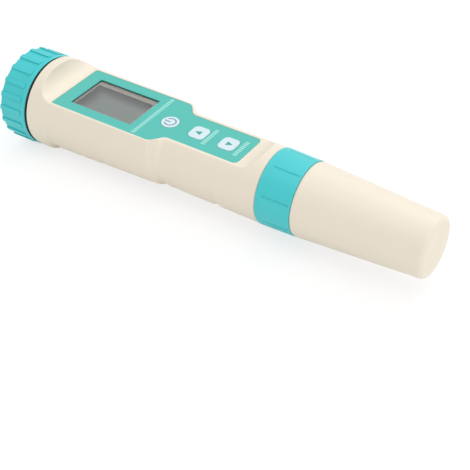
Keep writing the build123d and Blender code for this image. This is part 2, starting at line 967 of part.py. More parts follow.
# Sensors: rods standing on the probe's base inside the guard
sensor_spread = sensor_spread_share * guard_bore
sensor_drop = sensor_drop_share * guard_bore
conductivity_spread = conductivity_spread_share * guard_bore
conductivity_drop = conductivity_drop_share * guard_bore
with BuildPart() as glass_bulb:
    bulb_centre = base_end + bulb_length - bulb_radius
    bulb_height = bulb_rise_share * guard_bore
    with BuildSketch(across(base_end)):
        with Locations((0, bulb_height)):
            Circle(bulb_stem_radius)
    extrude(amount=bulb_centre - base_end)
    with Locations((barrel_start + bulb_centre, 0, axis_height + bulb_height)):
        Sphere(bulb_radius)
glass_bulb.part.label = "glass_bulb"
export_step(glass_bulb.part, "parts/glass_bulb.step")

rods = {
    "reference_junction": ([(sensor_spread, -sensor_drop)], junction_radius, junction_length),
    "redox_electrode": ([(-sensor_spread, -sensor_drop)], redox_radius, redox_length),
    "conductivity_pins": (
        [(-conductivity_spread, -conductivity_drop), (conductivity_spread, -conductivity_drop)],
        conductivity_pin_radius,
        conductivity_pin_length,
    ),
    "temperature_sensor": (
        [(0, -temperature_drop_share * guard_bore)],
        temperature_radius,
        temperature_length,
    ),
}
for rod_name, (places, rod_radius, rod_length) in rods.items():
    with BuildPart() as rod:
        with BuildSketch(across(base_end)):
            with Locations(*places):
                Circle(rod_radius)
        extrude(amount=rod_length)
        fillet(rod.edges().group_by(Axis.X)[-1], rod_radius / 2)
    rod.part.label = rod_name
    export_step(rod.part, f"parts/{rod_name}.step")

with BuildPart() as lock_ring:
    ring_bore = ring_neck_radius + thread_clearance
    lip_start = flange_end + flange_play
    turn(
        [
            (ring_start, ring_bore),
            (ring_start, ring_start_radius),
            (ring_end, ring_end_radius),
            (ring_end, probe_stem_radius + ring_stem_clearance),
            (lip_start, probe_stem_radius + ring_stem_clearance),
            (lip_start, ring_bore),
        ]
    )
    ring_edges = lock_ring.edges().filter_by(GeomType.CIRCLE)
    outer_edge_limit = (ring_bore + ring_end_radius) / 2
    fillet(ring_edges.filter_by(lambda e: e.radius > outer_edge_limit), ring_edge_fillet)
    # Shallow grooves along the ring give the fingers a hold
    slope = (ring_start_radius - ring_end_radius) / ring_length
    groove_length = ring_length - ring_groove_start_gap - ring_groove_end_gap
    groove_middle = ring_start + ring_groove_start_gap + groove_length / 2
    middle_radius = ring_start_radius - (groove_middle - ring_start) * slope
    for i in range(ring_groove_count):
        turn_angle = ring_groove_turn + 360 / ring_groove_count * i
        out = Vector(0, math.cos(math.radians(turn_angle)), math.sin(math.radians(turn_angle)))
        centre = out * (middle_radius + ring_groove_radius - ring_groove_depth)
        run = Vector(1, 0, 0) - out * slope
        middle_point = Vector(barrel_start + groove_middle, 0, axis_height) + centre
        with BuildSketch(Plane(origin=middle_point, z_dir=run)):
            Circle(ring_groove_radius)
        extrude(amount=groove_length / 2, both=True, mode=Mode.SUBTRACT)
lock_ring.part.label = "lock_ring"
export_step(lock_ring.part, "parts/lock_ring.step")

# Protective cap: a tapered cup whose bore slides over the probe's collar
with BuildPart() as protective_cap:
    stop = probe_collar_end + cap_stop_gap
    taper_rate = cap_taper / protective_cap_length
    stop_radius = min(mouth_radius - taper_rate * (stop - mouth_start) - cap_wall, cap_bore)
    floor_radius = mouth_radius - taper_rate * (floor_station - mouth_start) - cap_wall
    turn(
        [
            (mouth_start, 0),
            (mouth_start, mouth_radius - mouth_bevel),
            (mouth_start + mouth_bevel_length, mouth_radius),
            (tip_end, tip_radius),
            (tip_end, 0),
        ]
    )
    fillet(protective_cap.edges().group_by(Axis.X)[-1], tip_fillet)
    turn(
        [
            (mouth_start, 0),
            (mouth_start, cap_bore),
            (stop, cap_bore),
            (stop, stop_radius),
            (floor_station, floor_radius),
            (floor_station, 0),
        ],
        mode=Mode.SUBTRACT,
    )
protective_cap.part.label = "protective_cap"
export_step(protective_cap.part, "parts/protective_cap.step")

with BuildPart() as storage_sponge:
    turn(
        [
            (sponge_start, 0),
            (sponge_start, floor_radius - sponge_clearance),
            (floor_station, floor_radius - sponge_clearance),
            (floor_station, 0),
        ]
    )
storage_sponge.part.label = "storage_sponge"
export_step(storage_sponge.part, "parts/storage_sponge.step")
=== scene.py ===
"""Looks of a multiparameter water quality meter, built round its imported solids.

The meter lies on its back with the display up. X runs along the barrel from the
battery cap to the protective cap, Z points out of the display, and every length in
the script is in metres unless its name ends in _mm.
"""

import logging
import math
from dataclasses import dataclass
from enum import Enum
from functools import cache

import bmesh
import bpy
from mathutils import Matrix, Vector, noise


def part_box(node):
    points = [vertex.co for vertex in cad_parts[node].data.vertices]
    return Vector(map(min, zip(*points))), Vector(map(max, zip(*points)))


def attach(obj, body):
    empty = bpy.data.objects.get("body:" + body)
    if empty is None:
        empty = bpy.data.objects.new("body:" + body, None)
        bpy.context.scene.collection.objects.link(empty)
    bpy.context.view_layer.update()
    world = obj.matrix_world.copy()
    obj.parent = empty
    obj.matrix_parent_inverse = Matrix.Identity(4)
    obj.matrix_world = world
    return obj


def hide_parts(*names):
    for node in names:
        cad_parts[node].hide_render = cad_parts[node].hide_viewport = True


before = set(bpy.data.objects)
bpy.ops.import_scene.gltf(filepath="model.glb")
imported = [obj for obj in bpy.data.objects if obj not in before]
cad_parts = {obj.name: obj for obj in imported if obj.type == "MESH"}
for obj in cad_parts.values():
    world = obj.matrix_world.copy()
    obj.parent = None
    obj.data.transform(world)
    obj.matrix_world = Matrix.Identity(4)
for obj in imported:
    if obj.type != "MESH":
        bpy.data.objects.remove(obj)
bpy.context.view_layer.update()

log = logging.getLogger("meter")

MM = 0.001
LANYARD_BAR = 0.9 * MM
WELD = 0.001 * MM
SHARP_EDGE_DEG = 32


def middle_of(node: str) -> Vector:
    """The middle of a carried-over solid's box."""
    low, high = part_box(node)
    return (low + high) / 2


# Stations are counted from the battery cap's outer face, heights from the barrel's axis
BARREL_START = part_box("battery_cap")[0].x + LANYARD_BAR
AXIS_HEIGHT = middle_of("battery_cap").z


class Slot(Enum):
    """The record's material slots, listed by name."""

    CREAM = "cream_plastic"
    FILM = "overlay_film"
    KEY = "key_plastic"
    STEEL = "cell_steel"
    FOAM = "sponge_foam"


class Body(Enum):
    """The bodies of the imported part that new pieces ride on."""

    BARREL = "barrel"
    PROBE = "probe"
    COVER = "cover"
    POWER_KEY = "power_button"
    UP_KEY = "up_button"
    DOWN_KEY = "down_button"


def station(distance_mm: float) -> float:
    """X of a station, given in mm from the battery cap's outer face."""
    return BARREL_START + distance_mm * MM


def station_of(x: float) -> float:
    """Station in mm of a place along the barrel."""
    return (x - BARREL_START) / MM


def linear(colour: str) -> tuple[float, float, float, float]:
    """Turn an sRGB hex colour into the linear colour that a shader socket takes.

    Args:
        colour: Six hex digits, with or without a leading hash.

    Returns:
        The linear red, green, blue and an alpha of 1.
    """
    digits = colour.lstrip("#")
    channels = [int(digits[i : i + 2], 16) / 255 for i in (0, 2, 4)]
    red, green, blue = (
        c / 12.92 if c <= 0.04045 else ((c + 0.055) / 1.055) ** 2.4 for c in channels
    )
    return red, green, blue, 1.0


def add_node(
    tree: bpy.types.NodeTree,
    kind: str,
    settings: dict[str, object] | None = None,
    **inputs: object,
) -> bpy.types.Node:
    """Add one shader node with its settings, socket values and links.

    Args:
        tree: The node tree that takes the node.
        kind: The node's type name.
        settings: Properties set on the node itself.
        **inputs: Socket names, with underscores for spaces, or i and a number. A
            value that is an output socket is linked, any other value is set.

    Returns:
        The new node.
    """
    node = tree.nodes.new(kind)
    for name, value in (settings or {}).items():
        setattr(node, name, value)
    for name, value in inputs.items():
        key = int(name[1:]) if name[0] == "i" and name[1:].isdigit() else name.replace("_", " ")
        socket = node.inputs[key]
        if isinstance(value, bpy.types.NodeSocket):
            tree.links.new(value, socket)
        else:
            socket.default_value = value
    return node


@dataclass(frozen=True)
class Moulded:
    """Injection moulded plastic: one colour, faint clouding and a fine spark-eroded grain.

    The grain of such a mould is 0.05 to 0.1 mm, which one pixel can't show, so it is
    drawn about three times as coarse and very shallow.
    """

    name: str
    colour: str
    shade: str
    roughness: float
    grain_mm: float = 0.3
    grain_depth_mm: float = 0.006
    cloud_mm: float = 30.0
    subsurface: float = 0.0
    specular: float = 0.5

    def build(self) -> bpy.types.Material:
        """Make the material.

        Returns:
            The finished material.
        """
        material = bpy.data.materials.new(self.name)
        material.use_nodes = True
        tree = material.node_tree
        tree.nodes.clear()
        place = add_node(tree, "ShaderNodeTexCoord").outputs["Object"]
        cloud = add_node(
            tree,
            "ShaderNodeTexNoise",
            Vector=place,
            Scale=1 / (self.cloud_mm * MM),
            Detail=3.0,
            Roughness=0.5,
        )
        blend = add_node(
            tree,
            "ShaderNodeMix",
            {"data_type": "RGBA"},
            i0=cloud.outputs["Fac"],
            i6=linear(self.colour),
            i7=linear(self.shade),
        )
        grain = add_node(
            tree,
            "ShaderNodeTexNoise",
            Vector=place,
            Scale=1 / (self.grain_mm * MM),
            Detail=2.0,
        )
        bump = add_node(
            tree,
            "ShaderNodeBump",
            Height=grain.outputs["Fac"],
            Distance=self.grain_depth_mm * MM,
            Strength=1.0,
        )
        gloss = add_node(
            tree,
            "ShaderNodeMapRange",
            Value=cloud.outputs["Fac"],
            To_Min=self.roughness - 0.04,
            To_Max=self.roughness + 0.04,
        )
        shader = add_node(
            tree,
            "ShaderNodeBsdfPrincipled",
            Base_Color=blend.outputs[2],
            Roughness=gloss.outputs["Result"],
            Normal=bump.outputs["Normal"],
            IOR=1.5,
            Specular_IOR_Level=self.specular,
            Subsurface_Weight=self.subsurface,
            Subsurface_Radius=(1.0, 0.85, 0.7),
            Subsurface_Scale=1.2 * MM,
        )
        add_node(tree, "ShaderNodeOutputMaterial", Surface=shader.outputs["BSDF"])
        return material


@dataclass(frozen=True)
class Clear:
    """Clear moulded acrylic or drawn glass: smooth, colourless and seen through."""

    name: str
    tint: str
    roughness: float
    ior: float = 1.49

    def build(self) -> bpy.types.Material:
        """Make the material.

        Returns:
            The finished material.
        """
        material = bpy.data.materials.new(self.name)
        material.use_nodes = True
        tree = material.node_tree
        tree.nodes.clear()
        place = add_node(tree, "ShaderNodeTexCoord").outputs["Object"]
        smear = add_node(tree, "ShaderNodeTexNoise", Vector=place, Scale=1 / (6 * MM), Detail=4.0)
        gloss = add_node(
            tree,
            "ShaderNodeMapRange",
            Value=smear.outputs["Fac"],
            To_Min=self.roughness,
            To_Max=self.roughness + 0.05,
        )
        shader = add_node(
            tree,
            "ShaderNodeBsdfPrincipled",
            Base_Color=linear(self.tint),
            Roughness=gloss.outputs["Result"],
            IOR=self.ior,
            Transmission_Weight=1.0,
        )
        add_node(tree, "ShaderNodeOutputMaterial", Surface=shader.outputs["BSDF"])
        return material


@dataclass(frozen=True)
class Plated:
    """Bare or plated metal: drawn or turned, with fine scratches along one way."""

    name: str
    colour: str
    roughness: float
    scratch_mm: float = 0.4

    def build(self) -> bpy.types.Material:
        """Make the material.

        Returns:
            The finished material.
        """
        material = bpy.data.materials.new(self.name)
        material.use_nodes = True
        tree = material.node_tree
        tree.nodes.clear()
        place = add_node(tree, "ShaderNodeTexCoord").outputs["Object"]
        scratch = add_node(
            tree,
            "ShaderNodeTexNoise",
            Vector=place,
            Scale=1 / (self.scratch_mm * MM),
            Detail=5.0,
        )
        gloss = add_node(
            tree,
            "ShaderNodeMapRange",
            Value=scratch.outputs["Fac"],
            To_Min=self.roughness - 0.08,
            To_Max=self.roughness + 0.1,
        )
        bump = add_node(
            tree,
            "ShaderNodeBump",
            Height=scratch.outputs["Fac"],
            Distance=0.004 * MM,
            Strength=1.0,
        )
        shader = add_node(
            tree,
            "ShaderNodeBsdfPrincipled",
            Base_Color=linear(self.colour),
            Metallic=1.0,
            Roughness=gloss.outputs["Result"],
            Normal=bump.outputs["Normal"],
        )
        add_node(tree, "ShaderNodeOutputMaterial", Surface=shader.outputs["BSDF"])
        return material


@dataclass(frozen=True)
class DisplayGlass:
    """Polarised display glass: grey with a soft gloss, and a painted shadow that darkens it
    towards its far and left edges, where the frame's opening shades it.
    """

    name: str
    colour: str
    # The colour towards the far and left edges is painted shadow, the shade that the frame's
    # opening casts on the sunk glass
    edge: str
    roughness: float
    middle_mm: tuple[float, float] = (45.9, -0.85)
    half_mm: tuple[float, float] = (13.8, 7.75)

    def build(self) -> bpy.types.Material:
        """Make the material.

        Returns:
            The finished material.
        """
        material = bpy.data.materials.new(self.name)
        material.use_nodes = True
        tree = material.node_tree
        tree.nodes.clear()
        place = add_node(tree, "ShaderNodeTexCoord").outputs["Object"]
        centred = add_node(
            tree,
            "ShaderNodeMapping",
            {"vector_type": "TEXTURE"},
            Vector=place,
            Location=(station(self.middle_mm[0]), self.middle_mm[1] * MM, 0),
            Scale=(self.half_mm[0] * MM, self.half_mm[1] * MM, 1),
        )
        parts = add_node(tree, "ShaderNodeSeparateXYZ", Vector=centred.outputs["Vector"])
        # Painted shadow: the glass darkens towards its left (-X) and far (+Y) edges, where the
        # opening's walls shade it
        side = add_node(
            tree,
            "ShaderNodeMapRange",
            {"interpolation_type": "SMOOTHSTEP"},
            Value=parts.outputs["X"],
            From_Min=-0.4,
            From_Max=-1.0,
        )
        far = add_node(
            tree,
            "ShaderNodeMapRange",
            {"interpolation_type": "SMOOTHSTEP"},
            Value=parts.outputs["Y"],
            From_Min=0.05,
            From_Max=1.0,
        )
        painted_shadow_mask = add_node(
            tree,
            "ShaderNodeMath",
            {"operation": "MAXIMUM"},
            i0=side.outputs["Result"],
            i1=far.outputs["Result"],
        )
        blend = add_node(
            tree,
            "ShaderNodeMix",
            {"data_type": "RGBA"},
            i0=painted_shadow_mask.outputs["Value"],
            i6=linear(self.colour),
            i7=linear(self.edge),
        )
        shader = add_node(
            tree,
            "ShaderNodeBsdfPrincipled",
            Base_Color=blend.outputs[2],
            Roughness=self.roughness,
            IOR=1.52,
        )
        add_node(tree, "ShaderNodeOutputMaterial", Surface=shader.outputs["BSDF"])
        return material


Finish = Moulded | Clear | Plated | DisplayGlass

# Satin cream ABS: soft broad highlights, and a little light let into the thin edges
cream_abs = Moulded("moulded_abs_cream", "EBE1D0", "E8DDCB", 0.42, subsurface=0.05)
# Turquoise ABS from a better polished mould: tighter highlights along ribs and grooves
turquoise_abs = Moulded("moulded_abs_turquoise", "43CACE", "3DC5C9", 0.36)
# Label film, coloured from behind: an even teal with a flat, calm gloss
film = Moulded("printed_polyester_film_teal", "50BDB2", "4CB8AE", 0.36, grain_mm=0.25)
# Silicone key pads: a cool white that looks softer than the film round it
key_film = Moulded("moulded_silicone_key_white", "D3E6EB", "CDE1E7", 0.45)
# Display frame of warm grey ABS: ledges that stay pale in the shade of the opening
frame_abs = Moulded("moulded_abs_warm_grey", "D2C5BE", "CCBFB8", 0.5)
# Black ABS: the satin of plain inner parts
black_abs = Moulded("moulded_abs_black", "1B1C1E", "17181A", 0.45)
# Nitrile rubber: the dull black line at a joint that a seal closes
seal_rubber = Moulded("moulded_nitrile_rubber", "0E0F10", "131415", 0.7)
# Graphite ABS: the probe's dark guard, lighter than rubber and satin at its slots
probe_abs = Moulded("moulded_abs_graphite", "2A2C2F", "26282B", 0.42)
# Switched-off display: grey glass with a clear reflection, and a painted shadow that darkens its
# far and left edges
display_grey = DisplayGlass("polarised_display_glass", "A3A9A5", "66636A", 0.2)
# Inks: matt next to the pad or film that carries them
sign_ink = Moulded("screen_printed_ink_grey", "7C9CA8", "7696A3", 0.5)
arrow_ink = Moulded("screen_printed_ink_teal", "3F9E94", "3A978E", 0.5)
tick_ink = Moulded("screen_printed_ink_pale", "A6E3DA", "A0DED5", 0.5)
# Drawn platinum: a small bright point at the electrode's end
platinum = Plated("drawn_platinum", "D2D1CD", 0.2)
# Silver with its chloride layer: a dull grey thread seen through the bulb
silver_wire = Plated("chlorided_silver_wire", "8D8A86", 0.45)
# Circuit board: glossy green solder mask
laminate = Moulded("solder_masked_laminate", "0F5A33", "0C4F2D", 0.3)
# Porous ceramic: a dry, chalky white dot
ceramic = Moulded("sintered_ceramic", "E2DED3", "D8D3C6", 0.75)
# Open-celled foam: dull yellow, with cells deep enough to shade themselves
foam = Moulded("open_cell_foam", "E8DDA8", "DCCF95", 0.9, grain_mm=0.8, grain_depth_mm=0.25)
# Acrylic pane: almost unseen but for its clean reflections
clear_acrylic = Clear("clear_acrylic_pane", "F4F7F6", 0.03)
# Drawn glass: bright rims round a clear bulb and tube
sensor_glass = Clear("drawn_sensor_glass", "EDF6F8", 0.02, 1.5)
# Nickel plate: the warm white shine of button cells
cell_steel = Plated("nickel_plated_cell_steel", "C9C8C4", 0.28)
# Gold plate: warm yellow contact pins
gold_plate = Plated("gold_plated_brass", "D9B45C", 0.22)
# Polished steel: cool, mirror-like pins and screws
pin_steel = Plated("polished_stainless_steel", "BFC0C2", 0.2)

NODE_FINISHES = {
    "housing": cream_abs,
    "battery_cap": turquoise_abs,
    "battery_cap_seal": seal_rubber,
    "battery_holder": black_abs,
    "button_cell_1": cell_steel,
    "button_cell_2": cell_steel,
    "button_cell_3": cell_steel,
    "button_cell_4": cell_steel,
    "negative_contact": pin_steel,
    "positive_contact": pin_steel,
    "face_overlay": film,
    "display_window": clear_acrylic,
    "display_frame": frame_abs,
    "display_panel": display_grey,
    "display_connector_near": seal_rubber,
    "display_connector_far": seal_rubber,
    "circuit_board": laminate,
    "board_screws": pin_steel,
    "processor": black_abs,
    "power_switch": black_abs,
    "up_switch": black_abs,
    "down_switch": black_abs,
    "power_key": key_film,
    "up_key": key_film,
    "down_key": key_film,
    "probe_socket": black_abs,
    "probe_pins": gold_plate,
    "probe_body": probe_abs,
    "probe_cap_seal": seal_rubber,
    "glass_bulb": sensor_glass,
    "reference_junction": ceramic,
    "redox_electrode": sensor_glass,
    "conductivity_pins": pin_steel,
    "temperature_sensor": pin_steel,
    "lock_ring": turquoise_abs,
    "protective_cap": cream_abs,
    "storage_sponge": foam,
}


@cache
def material_of(finish: Finish) -> bpy.types.Material:
    """The material of a finish, made once."""
    return finish.build()


def dress_nodes() -> None:
    """Give every carried-over solid its finish."""
    for name, finish in NODE_FINISHES.items():
        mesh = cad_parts[name].data
        mesh.materials.clear()
        mesh.materials.append(material_of(finish))
        log.info("dressed %s with %s", name, finish.name)


def add_piece(
    name: str, shape: bmesh.types.BMesh, finish: Finish, body: Body
) -> bpy.types.Object:
    """Make one new piece from its shape and let it ride on a body.

    Args:
        name: The piece's name.
        shape: Its mesh, in place, which is freed.
        finish: What it is made of.
        body: The body that it moves with.

    Returns:
        The finished piece.
    """
    bmesh.ops.remove_doubles(shape, verts=shape.verts, dist=WELD)
    bmesh.ops.recalc_face_normals(shape, faces=shape.faces)
    for face in shape.faces:
        face.smooth = True
    for edge in shape.edges:
        edge.smooth = edge.calc_face_angle(0.0) < math.radians(SHARP_EDGE_DEG)
    mesh = bpy.data.meshes.new(name)
    shape.to_mesh(mesh)
    shape.free()
    mesh.materials.append(material_of(finish))
    piece = bpy.data.objects.new(name, mesh)
    bpy.context.scene.collection.objects.link(piece)
    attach(piece, body.value)
    log.info("built %s: %d faces, rides on %s", name, len(mesh.polygons), body.value)
    return piece


def raise_faces(shape: bmesh.types.BMesh, height: float) -> None:
    """Give the flat faces of a shape a height along Z."""
    grown = bmesh.ops.extrude_face_region(shape, geom=shape.faces[:])
    risen = [part for part in grown["geom"] if isinstance(part, bmesh.types.BMVert)]
    bmesh.ops.translate(shape, verts=risen, vec=(0, 0, height))


def add_bar(shape: bmesh.types.BMesh, middle: Vector, size_mm: tuple[float, float]) -> None:
    """Add one flat bar, level with the face.

    Args:
        shape: The mesh that takes it.
        middle: Its middle.
        size_mm: Its length along the barrel and its width across it.
    """
    size = Matrix.Diagonal((size_mm[0] * MM, size_mm[1] * MM, 1, 1))
    place = Matrix.Translation(middle) @ size
    bmesh.ops.create_grid(shape, x_segments=1, y_segments=1, size=0.5, matrix=place)


def add_lathed(
    shape: bmesh.types.BMesh,
    outline_mm: list[tuple[float, float]],
    centre: Vector,
    steps: int,
) -> None:
    """Turn an outline about a line along the barrel.

    Args:
        shape: The mesh that takes the turned form.
        outline_mm: Points of station and radius, both ends on the line.
        centre: Any point of the line.
        steps: How many flats the turn has.
    """
    y, z = centre.y, centre.z
    verts = [shape.verts.new((station(s), y, z + radius * MM)) for s, radius in outline_mm]
    edges = [shape.edges.new(pair) for pair in zip(verts, verts[1:])]
    bmesh.ops.spin(
        shape,
        geom=verts + edges,
        cent=(0, y, z),
        axis=(1, 0, 0),
        angle=math.tau,
        steps=steps,
        use_merge=True,
    )
    bmesh.ops.remove_doubles(shape, verts=shape.verts, dist=WELD)


@dataclass
class KeySigns:
    """Power sign and two arrows, printed on the key pads."""

    sunk_mm: float = 0.02
    ink_mm: float = 0.05
    sign_radius_mm: float = 2.2
    line_mm: float = 0.6
    opening_deg: float = 36.0
    bar_mm: float = 2.6
    arrow_length_mm: float = 2.7
    arrow_width_mm: float = 2.5
    arc_steps: int = 44

    def foot(self, key: str) -> Vector:
        """The middle of a key pad's top, a little below its surface."""
        place = middle_of(key)
        place.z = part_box(key)[1].z - self.sunk_mm * MM
        return place

    def power(self) -> bpy.types.Object:
        """Print the open ring and the bar that stands in its opening.

        Returns:
            The sign.
        """
        shape = bmesh.new()
        foot = self.foot("power_key")
        half_line = self.line_mm / 2
        start = math.radians(180 + self.opening_deg)
        ends = [
            shape.verts.new(
                foot + Vector((math.cos(start), math.sin(start), 0)) * reach_mm * MM
            )
            for reach_mm in (self.sign_radius_mm - half_line, self.sign_radius_mm + half_line)
        ]
        bmesh.ops.spin(
            shape,
            geom=[*ends, shape.edges.new(ends)],
            cent=foot,
            axis=(0, 0, 1),
            angle=math.tau - 2 * math.radians(self.opening_deg),
            steps=self.arc_steps,
        )
        bar_middle = foot - Vector((self.bar_mm / 2 * MM, 0, 0))
        add_bar(shape, bar_middle, (self.bar_mm, self.line_mm))
        raise_faces(shape, self.ink_mm * MM)
        return add_piece("power_sign", shape, sign_ink, Body.POWER_KEY)

    def arrow(self, name: str, key: str, way: int, body: Body) -> bpy.types.Object:
        """Print one arrow head.

        Args:
            name: The sign's name.
            key: The key pad that it is on.
            way: -1 points to the display, 1 points away from it.
            body: The key's body.

        Returns:
            The sign.
        """
        shape = bmesh.new()
        # A triangle in a circle of radius 1 is 3 ** 0.5 wide and 1.5 high
        width = self.arrow_width_mm * MM / math.sqrt(3)
        length = way * self.arrow_length_mm * MM / 1.5
        size = Matrix.Diagonal((width, length, 1, 1))
        turn = Matrix.Rotation(math.radians(-90), 4, "Z")
        bmesh.ops.create_circle(
            shape,
            cap_ends=True,
            segments=3,
            radius=1,
            matrix=Matrix.Translation(self.foot(key)) @ turn @ size,
        )
        raise_faces(shape, self.ink_mm * MM)
        return add_piece(name, shape, arrow_ink, body)

    def build(self) -> None:
        """Print all three signs."""
        self.power()
        self.arrow("up_sign", "up_key", -1, Body.UP_KEY)
        self.arrow("down_sign", "down_key", 1, Body.DOWN_KEY)


@dataclass
class TickRows:
    """Rows of plain printed ticks across the face overlay.

    A row holds its station, how far it reaches to each side, and its count of ticks.
    """

    sunk_mm: float = 0.02
    ink_mm: float = 0.04
    rows_mm: tuple[tuple[float, float, int], ...] = (
        (64.6, 12.9, 25),
        (91.5, 5.0, 11),
        (105.6, 4.6, 10),
    )
    tick_mm: tuple[float, float] = (1.7, 0.6)

    def build(self) -> None:
        """Print every row."""
        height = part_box("face_overlay")[1].z - self.sunk_mm * MM
        for number, (row, reach, count) in enumerate(self.rows_mm, start=1):
            shape = bmesh.new()
            for i in range(count):
                y = -reach + 2 * reach * i / (count - 1)
                add_bar(shape, Vector((station(row), y * MM, height)), self.tick_mm)
            raise_faces(shape, self.ink_mm * MM)
            add_piece(f"tick_row_{number}", shape, tick_ink, Body.BARREL)


@dataclass
class ScrewThread:
    """Right-handed thread ridge wound round the core of one screw neck."""

    name: str
    start_mm: float
    end_mm: float
    core_mm: float
    crest_mm: float
    pitch_mm: float = 2.5
    root_width_mm: float = 1.5
    crest_width_mm: float = 0.6
    root_depth_mm: float = 0.15
    run_out_mm: float = 0.1
    steps_per_turn: int = 64

    def build(self) -> bpy.types.Object:
        """Wind the ridge, with both of its ends run down into the core.

        Returns:
            The ridge.
        """
        shape = bmesh.new()
        sunk = self.core_mm - self.root_depth_mm
        half_root, half_crest = self.root_width_mm / 2, self.crest_width_mm / 2
        profile = [
            (-half_root, sunk),
            (-half_crest, self.crest_mm),
            (half_crest, self.crest_mm),
            (half_root, sunk),
        ]
        first = [
            shape.verts.new((station(self.start_mm + along), 0, AXIS_HEIGHT + radius * MM))
            for along, radius in profile
        ]
        face = shape.faces.new(first)
        turns = (self.end_mm - self.start_mm) / self.pitch_mm
        steps = round(turns * self.steps_per_turn)
        wound = bmesh.ops.spin(
            shape,
            geom=[*first, *face.edges, face],
            cent=(0, 0, AXIS_HEIGHT),
            axis=(1, 0, 0),
            dvec=((self.end_mm - self.start_mm) * MM / steps, 0, 0),
            angle=math.tau * turns,
            steps=steps,
        )
        last = [part for part in wound["geom_last"] if isinstance(part, bmesh.types.BMVert)]
        shrink = (sunk - self.run_out_mm) / self.crest_mm
        for end in (first, last):
            bmesh.ops.scale(
                shape,
                vec=(1, shrink, shrink),
                space=Matrix.Translation((0, 0, -AXIS_HEIGHT)),
                verts=end,
            )
        return add_piece(self.name, shape, cream_abs, Body.BARREL)


@dataclass
class SensorDetails:
    """Fine metal parts of the sensors inside the guard."""

    bulb_radius_mm: float = 3.0
    wire_radius_mm: float = 0.3
    wire_steps: int = 16
    pin_radius_mm: float = 0.55
    pin_root_mm: float = 0.6
    pin_stand_mm: float = 0.5
    pin_crown_mm: float = 0.2
    pin_steps: int = 24

    def wire(self) -> bpy.types.Object:
        """Run the wire from the bulb's foot to the middle of its ball.

        Returns:
            The wire.
        """
        shape = bmesh.new()
        low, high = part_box("glass_bulb")
        radius = self.wire_radius_mm
        ball = station_of(high.x) - self.bulb_radius_mm
        outline = [
            (station_of(low.x), 0),
            (station_of(low.x), radius),
            (ball, radius),
            (ball + radius, radius / 2),
            (ball + radius, 0),
        ]
        add_lathed(shape, outline, middle_of("glass_bulb"), self.wire_steps)
        return add_piece("bulb_wire", shape, silver_wire, Body.PROBE)

    def tip(self) -> bpy.types.Object:
        """Set the metal pin in the end of the redox electrode.

        Returns:
            The pin.
        """
        shape = bmesh.new()
        radius = self.pin_radius_mm
        face = station_of(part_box("redox_electrode")[1].x)
        rim = face + self.pin_stand_mm
        outline = [
            (face - self.pin_root_mm, 0),
            (face - self.pin_root_mm, radius),
            (rim, radius),
            (rim + self.pin_crown_mm, radius / 2),
            (rim + self.pin_crown_mm, 0),
        ]
        add_lathed(shape, outline, middle_of("redox_electrode"), self.pin_steps)
        return add_piece("redox_tip", shape, platinum, Body.PROBE)

    def build(self) -> None:
        """Make the wire in the glass bulb and the redox electrode's metal tip."""
        self.wire()
        self.tip()


@dataclass
class StorageSponge:
    """Soft foam disc at the bottom of the protective cap."""

    front_room_mm: float = 0.15
    back_room_mm: float = 0.1
    side_room_mm: float = 0.19
    edge_mm: float = 1.1
    crown_mm: float = 0.15
    rough_mm: float = 0.14
    cell_mm: float = 1.3
    face_share: float = 0.8
    face_steps: int = 8
    edge_steps: int = 6
    turn_steps: int = 96

    def outline(self) -> list[tuple[float, float]]:
        """Draw half of the disc's section, from the line to the rim and back.

        Returns:
            Points of station and radius in mm.
        """
        low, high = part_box("storage_sponge")
        front = station_of(low.x) + self.front_room_mm
        back = station_of(high.x) - self.back_room_mm
        reach = (high.y - low.y) / 2 / MM - self.side_room_mm
        inner = reach - self.edge_mm
        shares = [i / self.face_steps for i in range(self.face_steps + 1)]
        crowned = [
            (front - self.crown_mm * (1 - share**2), reach * self.face_share * share)
            for share in shares
        ]
        bends = [math.pi / 2 * i / self.edge_steps for i in range(self.edge_steps + 1)]
        front_edge = [
            (front + self.edge_mm * (1 - math.cos(bend)), inner + self.edge_mm * math.sin(bend))
            for bend in bends
        ]
        back_edge = [
            (back - self.edge_mm * (1 - math.sin(bend)), inner + self.edge_mm * math.cos(bend))
            for bend in bends
        ]
        flat = [(back, reach * self.face_share * share) for share in reversed(shares)]
        return crowned + front_edge + back_edge + flat

    def build(self) -> bpy.types.Object:
        """Make the disc with rounded edges and an uneven, open-celled skin.

        Returns:
            The disc.
        """
        shape = bmesh.new()
        add_lathed(shape, self.outline(), middle_of("protective_cap"), self.turn_steps)
        bmesh.ops.recalc_face_normals(shape, faces=shape.faces)
        shape.normal_update()
        for vert in shape.verts:
            push = noise.noise(vert.co / (self.cell_mm * MM)) * self.rough_mm * MM
            vert.co -= vert.normal * abs(push)
        piece = add_piece("storage_foam", shape, foam, Body.COVER)
        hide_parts("storage_sponge")
        return piece


@dataclass(frozen=True)
class SoftBox:
    """One square soft lamp that faces the meter."""

    name: str
    place: tuple[float, float, float]
    size: float
    power: float

    def hang(self) -> bpy.types.Object:
        """Hang the lamp.

        Returns:
            The lamp.
        """
        light = bpy.data.lights.new(self.name, "AREA")
        light.size = self.size
        light.energy = self.power
        lamp = bpy.data.objects.new(self.name, light)
        lamp.location = self.place
        lamp.rotation_mode = "QUATERNION"
        lamp.rotation_quaternion = (-Vector(self.place)).to_track_quat("-Z", "Y")
        bpy.context.scene.collection.objects.link(lamp)
        return lamp


